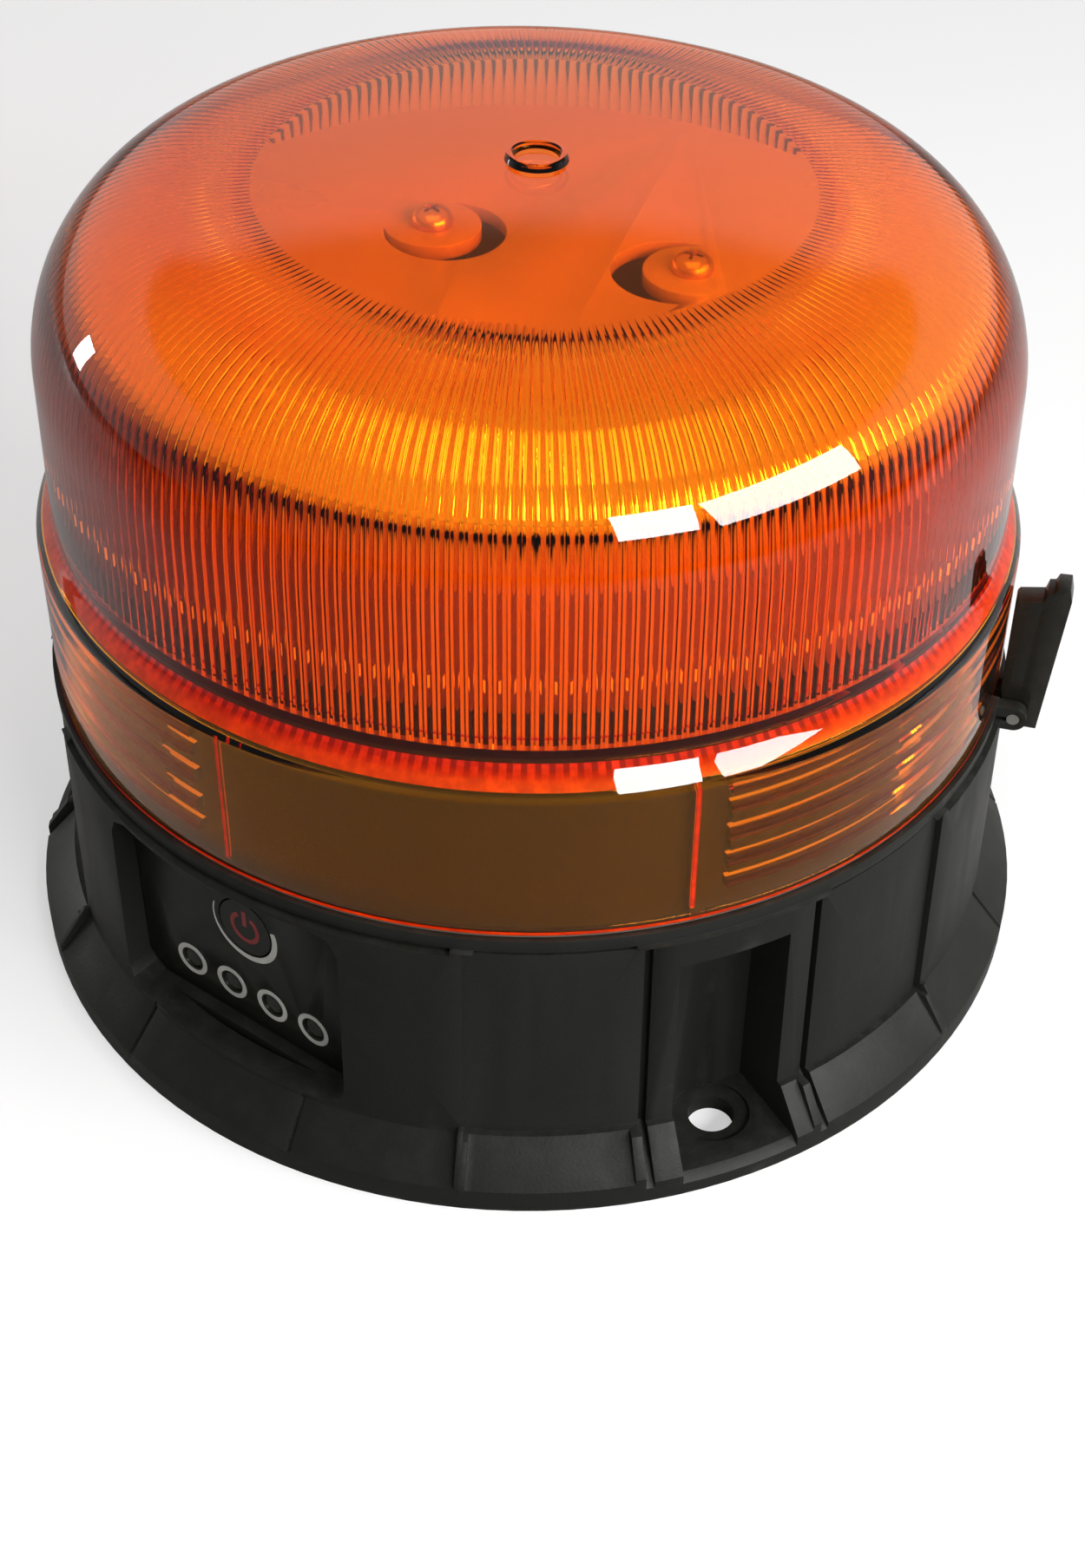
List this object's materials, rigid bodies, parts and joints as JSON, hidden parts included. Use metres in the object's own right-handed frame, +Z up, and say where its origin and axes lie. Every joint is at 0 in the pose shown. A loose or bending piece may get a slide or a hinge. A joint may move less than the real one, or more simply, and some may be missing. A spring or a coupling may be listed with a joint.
{
  "type": "warning beacon",
  "caption": "Rechargeable amber warning beacon with a fluted dome on a flanged three-bolt base, a recessed keypad, a dome clip and a covered charging socket.",
  "frame": {"origin": "centre of the bolt circle on the mounting plane", "axes": "+Z up along the dome's axis; -Y is the side where the keypad and one bolt pocket are seen"},
  "size_m": [0.1501, 0.15, 0.1159],
  "materials": {
    "black_housing": "fine textured black moulding",
    "black_gloss": "satin black moulding",
    "black_rubber": "matt black rubber",
    "grey_rubber": "matt silicone rubber",
    "magnet_nickel": "nickel plated magnet",
    "zinc_steel": "zinc plated steel",
    "black_steel": "blackened steel",
    "cell_wrap": "shrink wrap",
    "circuit_board": "green solder mask",
    "ferrite": "ferrite",
    "capacitor_can": "aluminium can",
    "chip_black": "epoxy",
    "connector_white": "natural nylon",
    "socket_black": "black nylon",
    "keypad_film": "printed polyester film",
    "lamp_lens": "clear epoxy lamp",
    "carrier_plastic": "pale moulding",
    "brass_screw": "yellow passivated steel",
    "led_board_white": "white solder mask",
    "led_lens": "phosphor coated lamp",
    "lead_red": "red insulation",
    "lead_black": "black insulation",
    "amber_dome": "clear amber polycarbonate"
  },
  "bodies": {
    "base": {"base_housing": "black_housing", "bottom_cover": "black_housing", "rubber_pad": "black_rubber", "cover_seal": "grey_rubber", "dome_seal": "grey_rubber", "holding_magnets": "magnet_nickel", "magnet_backplates": "zinc_steel", "cover_screws": "black_steel", "battery_tray": "black_housing", "battery_cells": "cell_wrap", "control_board": "circuit_board", "board_screws": "zinc_steel", "charge_inductor": "ferrite", "capacitors": "capacitor_can", "driver_chips": "chip_black", "lead_header": "connector_white", "charge_socket": "socket_black", "port_cover_pin": "zinc_steel", "keypad_overlay": "keypad_film", "keypad_board": "circuit_board", "keypad_screws": "zinc_steel", "keypad_spacers": "connector_white", "power_switch": "chip_black", "status_leds": "lamp_lens", "clip_pin": "zinc_steel", "clip_spring": "zinc_steel", "light_carrier": "carrier_plastic", "carrier_screws": "brass_screw", "led_board": "led_board_white", "led_chips": "led_lens", "led_lead_red": "lead_red", "led_lead_black": "lead_black"},
    "dome": {"dome": "amber_dome"},
    "clip": {"dome_clip": "black_gloss"},
    "button": {"power_button": "keypad_film", "switch_plunger": "connector_white"},
    "port_cover_flap": {"port_cover": "black_rubber"}
  },
  "joints": [
    {"name": "dome_turn", "type": "hinge", "parent": "base", "child": "dome", "pos_m": [0, 0, 0.045], "axis": [0, 0, 1], "range_deg": [0, 56]},
    {"name": "clip_open", "type": "hinge", "parent": "base", "child": "clip", "pos_m": [0.06982, -0.01231, 0.0426], "axis": [0.1736, 0.9848, 0], "range_deg": [0, 22], "stiffness_Nm_per_rad": 0.3, "deforming": ["clip_spring"]},
    {"name": "button_press", "type": "slide", "parent": "base", "child": "button", "axis": [0.5446, 0.8387, 0], "range_m": [0, 0.0005], "stiffness_N_per_m": 4000},
    {"name": "port_cover_open", "type": "hinge", "parent": "base", "child": "port_cover_flap", "pos_m": [-0.03055, 0.05996, 0.0164], "axis": [-0.891, -0.454, 0], "range_deg": [0, 100]}
  ]
}
